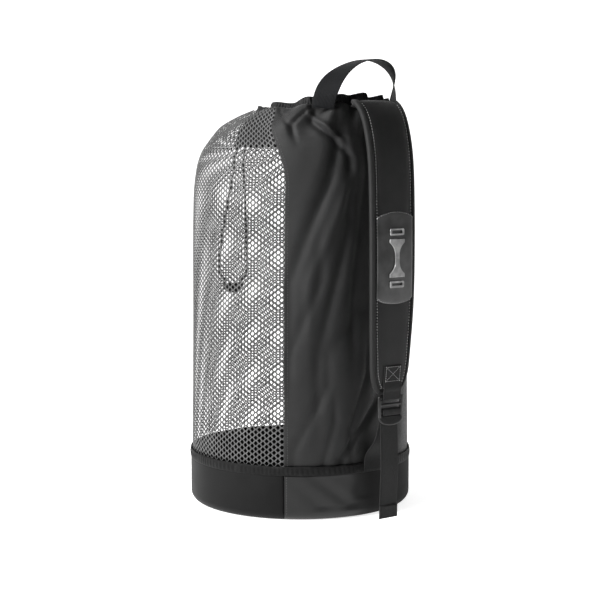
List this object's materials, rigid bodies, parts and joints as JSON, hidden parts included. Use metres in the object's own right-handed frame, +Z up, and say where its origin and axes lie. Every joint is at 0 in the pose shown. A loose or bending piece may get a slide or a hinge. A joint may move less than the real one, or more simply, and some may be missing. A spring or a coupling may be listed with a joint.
{
  "type": "mesh dive gear bag",
  "caption": "Tall round drawstring bag with a net body, nylon back panel, coated base, gathered mouth, haul handle and a padded shoulder strap with a ladder buckle.",
  "frame": {"origin": "centre of the base underside, on the axis of the round base", "axes": "+Z up along the bag; +Y is the back with the nylon panel and the strap; -Y is the front with the draw cord"},
  "size_m": [0.412, 0.482, 0.8146],
  "materials": {
    "coated": "satin coated cloth",
    "net": "knitted polyester net",
    "nylon": "woven nylon with a soft sheen",
    "dark_nylon": "fine black nylon",
    "webbing": "woven webbing",
    "plastic": "moulded nylon",
    "grey_plastic": "moulded relief",
    "cord": "braided cord"
  },
  "bodies": {
    "root": {"base_floor": "coated", "base_wall_front": "coated", "base_wall_back": "coated", "base_binding": "dark_nylon", "net_wall": "net", "back_panel": "nylon", "mouth_casing": "dark_nylon", "haul_handle": "webbing", "shoulder_pad": "nylon", "pad_piping": "dark_nylon", "strap_patch": "coated", "patch_keeper": "grey_plastic", "pad_webbing": "webbing", "ladder_lock": "plastic", "adjuster_webbing": "webbing", "draw_cord_left": "cord", "draw_cord_right": "cord", "cord_pull": "plastic"}
  },
  "joints": []
}
